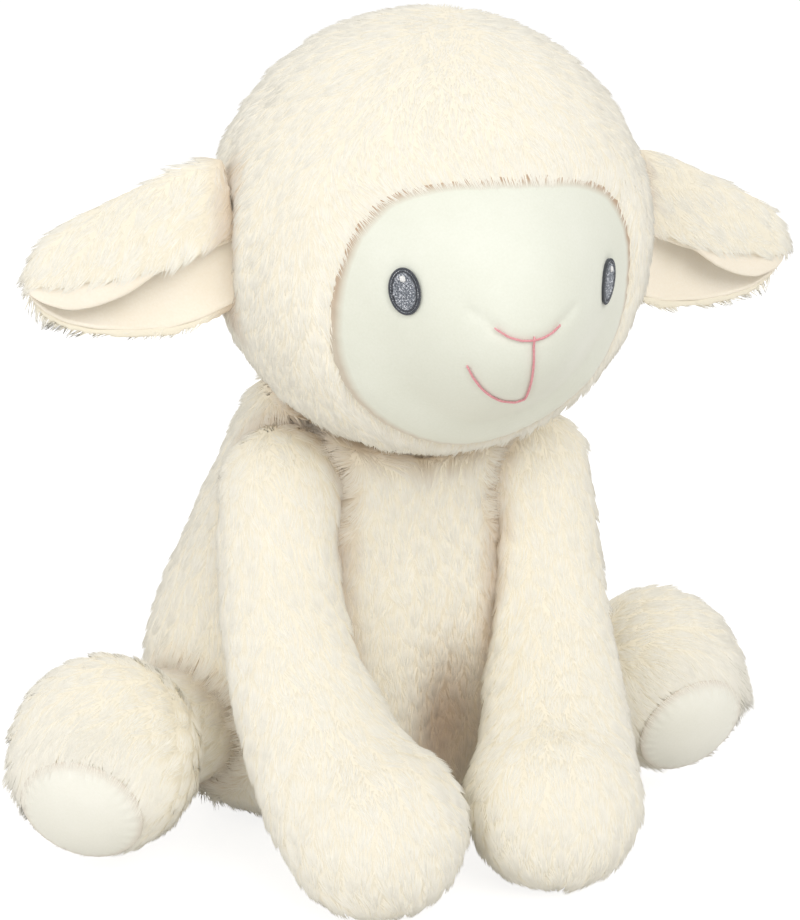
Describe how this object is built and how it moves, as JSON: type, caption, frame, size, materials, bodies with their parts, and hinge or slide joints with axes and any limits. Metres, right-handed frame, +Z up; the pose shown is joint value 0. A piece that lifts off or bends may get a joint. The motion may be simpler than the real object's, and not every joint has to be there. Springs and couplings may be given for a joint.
{
  "type": "plush toy sheep",
  "caption": "Sitting plush sheep with a fur hood and body, smooth stitched face, lined folding ears, a head that turns and nods, and soft swinging limbs.",
  "frame": {"origin": "middle of the flat seat, on the surface that the sheep sits on", "axes": "+Z up, the sheep faces -Y, its left side is +X"},
  "size_m": [0.2581, 0.2158, 0.2713],
  "materials": {
    "fur": "soft clumped short pile, cream",
    "velboa": "smooth short-nap fabric, ivory",
    "ear_lining": "smooth short-nap fabric, warm cream",
    "fibre_fill": "loose polyester fibre",
    "pellets": "woven bag of plastic pellets",
    "charcoal_thread": "satin stitch",
    "silver_thread": "satin stitch with metallic sparkle",
    "white_thread": "satin stitch",
    "pink_thread": "raised stitched line"
  },
  "bodies": {
    "torso": {"body_cover": "fur", "body_stuffing": "fibre_fill", "pellet_bag": "pellets"},
    "neck": {"neck_stuffing": "fibre_fill"},
    "head": {"head_cover": "fur", "face_panel": "velboa", "head_stuffing": "fibre_fill", "left_eye_border": "charcoal_thread", "left_eye_fill": "silver_thread", "left_eye_glint": "white_thread", "right_eye_border": "charcoal_thread", "right_eye_fill": "silver_thread", "right_eye_glint": "white_thread", "nose_embroidery": "pink_thread", "mouth_embroidery": "pink_thread"},
    "left_ear": {"left_ear_cover": "fur", "left_ear_lining": "ear_lining"},
    "right_ear": {"right_ear_cover": "fur", "right_ear_lining": "ear_lining"},
    "left_arm": {"left_arm_cover": "fur", "left_arm_stuffing": "fibre_fill"},
    "right_arm": {"right_arm_cover": "fur", "right_arm_stuffing": "fibre_fill"},
    "left_leg": {"left_leg_cover": "fur", "left_leg_stuffing": "fibre_fill", "left_sole_pad": "velboa"},
    "right_leg": {"right_leg_cover": "fur", "right_leg_stuffing": "fibre_fill", "right_sole_pad": "velboa"},
    "tail": {"tail_cover": "fur", "tail_stuffing": "fibre_fill"}
  },
  "joints": [
    {"name": "head_turn", "type": "hinge", "parent": "torso", "child": "neck", "pos_m": [0, -0.0542, 0.2028], "axis": [0, -0.342, 0.9397], "range_deg": [-35, 35], "stiffness_Nm_per_rad": 0.6},
    {"name": "head_nod", "type": "hinge", "parent": "neck", "child": "head", "pos_m": [0, -0.0542, 0.2028], "axis": [1, 0, 0], "range_deg": [-20, 20], "stiffness_Nm_per_rad": 0.8},
    {"name": "left_ear_fold", "type": "hinge", "parent": "head", "child": "left_ear", "pos_m": [0.0688, -0.0581, 0.1999], "axis": [0, 0, 1], "range_deg": [-35, 35], "stiffness_Nm_per_rad": 0.02},
    {"name": "right_ear_fold", "type": "hinge", "parent": "head", "child": "right_ear", "pos_m": [-0.0688, -0.0581, 0.1999], "axis": [0, 0, 1], "range_deg": [-35, 35], "stiffness_Nm_per_rad": 0.02},
    {"name": "left_arm_swing", "type": "hinge", "parent": "torso", "child": "left_arm", "pos_m": [0.04278, -0.04347, 0.1225], "axis": [-1, 0, 0], "range_deg": [0, 50], "stiffness_Nm_per_rad": 0.05},
    {"name": "right_arm_swing", "type": "hinge", "parent": "torso", "child": "right_arm", "pos_m": [-0.04278, -0.04347, 0.1225], "axis": [-1, 0, 0], "range_deg": [0, 50], "stiffness_Nm_per_rad": 0.05},
    {"name": "left_leg_lift", "type": "hinge", "parent": "torso", "child": "left_leg", "pos_m": [0.0648, -0.0192, 0.0395], "axis": [-0.4628, -0.8865, 0], "range_deg": [-4, 15], "stiffness_Nm_per_rad": 0.4},
    {"name": "right_leg_lift", "type": "hinge", "parent": "torso", "child": "right_leg", "pos_m": [-0.0645, -0.01906, 0.037], "axis": [-0.4618, 0.887, 0], "range_deg": [-4, 15], "stiffness_Nm_per_rad": 0.4},
    {"name": "tail_lift", "type": "hinge", "parent": "torso", "child": "tail", "pos_m": [0, 0.05492, 0.045], "axis": [1, 0, 0], "range_deg": [0, 35], "stiffness_Nm_per_rad": 0.02}
  ]
}
